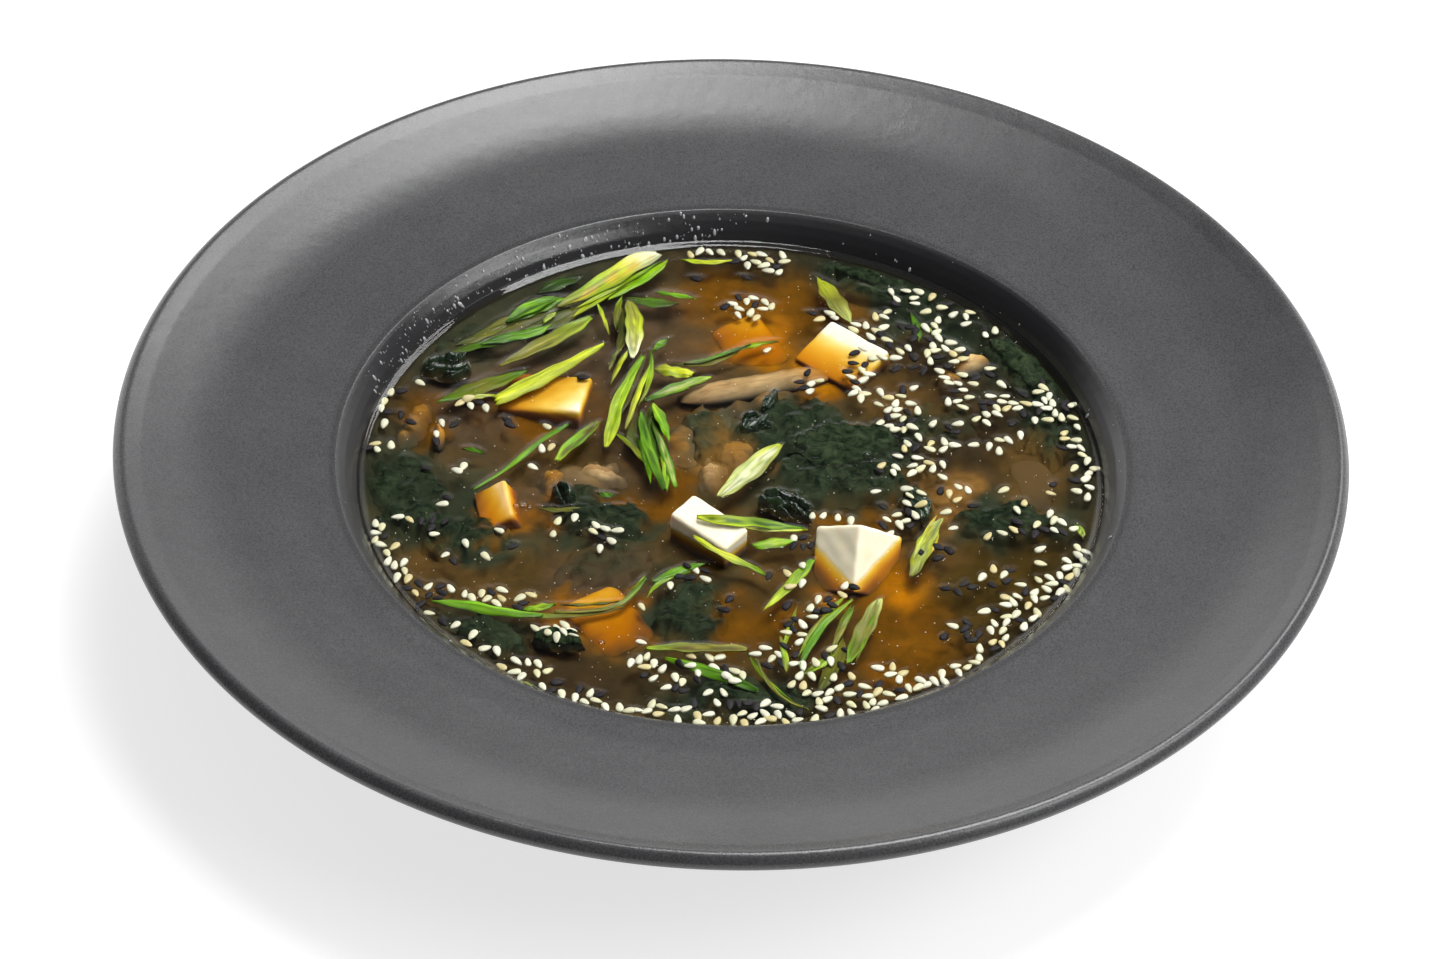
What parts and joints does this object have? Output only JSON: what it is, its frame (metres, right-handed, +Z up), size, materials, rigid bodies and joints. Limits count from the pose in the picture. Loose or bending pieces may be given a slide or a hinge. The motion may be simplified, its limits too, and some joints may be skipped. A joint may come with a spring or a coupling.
{
  "type": "miso soup in a wide-rimmed soup plate",
  "caption": "Wide-rimmed dark stoneware soup plate filled with miso soup: tofu blocks, wakame, mushroom, cut spring onion leaves and sesame seeds floating on brown broth.",
  "frame": {"origin": "centre of the foot ring's flat underside, on the surface that the plate stands on", "axes": "+Z up; +Y points away from the viewer of the soup, +X to the right"},
  "size_m": [0.29, 0.29, 0.048],
  "materials": {
    "bowl": "matte charcoal stoneware with a fine grain",
    "soup": "cloudy brown broth with white and black sesame seeds on it",
    "tofu": "moist cream tofu, amber where the broth covers it",
    "wakame": "wet dark green seaweed",
    "mushroom": "moist tan mushroom",
    "onion": "fresh yellow-green leaf with fine ribs"
  },
  "bodies": {
    "root": {"bowl": "bowl", "mushroom_pale": "mushroom", "mushroom_right": "mushroom", "mushroom_right_back": "mushroom", "onion_01": "onion", "onion_02": "onion", "onion_03": "onion", "onion_04": "onion", "onion_05": "onion", "onion_06": "onion", "onion_07": "onion", "onion_08": "onion", "onion_09": "onion", "onion_10": "onion", "onion_11": "onion", "onion_12": "onion", "onion_13": "onion", "onion_14": "onion", "onion_15": "onion", "onion_16": "onion", "onion_17": "onion", "onion_18": "onion", "onion_19": "onion", "onion_20": "onion", "onion_21": "onion", "onion_22": "onion", "onion_23": "onion", "onion_24": "onion", "onion_25": "onion", "onion_26": "onion", "onion_27": "onion", "onion_28": "onion", "onion_29": "onion", "onion_30": "onion", "onion_31": "onion", "onion_32": "onion", "onion_33": "onion", "onion_34": "onion", "onion_35": "onion", "onion_36": "onion", "onion_37": "onion", "soup": "soup", "tofu_back_left": "tofu", "tofu_back_right": "tofu", "tofu_front": "tofu", "tofu_front_right": "tofu", "tofu_left": "tofu", "wakame_back": "wakame", "wakame_curl": "wakame", "wakame_front_left": "wakame", "wakame_leaf": "wakame", "wakame_left_back": "wakame", "wakame_lump_back": "wakame", "wakame_lump_front": "wakame", "wakame_lump_left": "wakame", "wakame_right": "wakame", "wakame_right_back": "wakame"}
  },
  "joints": []
}
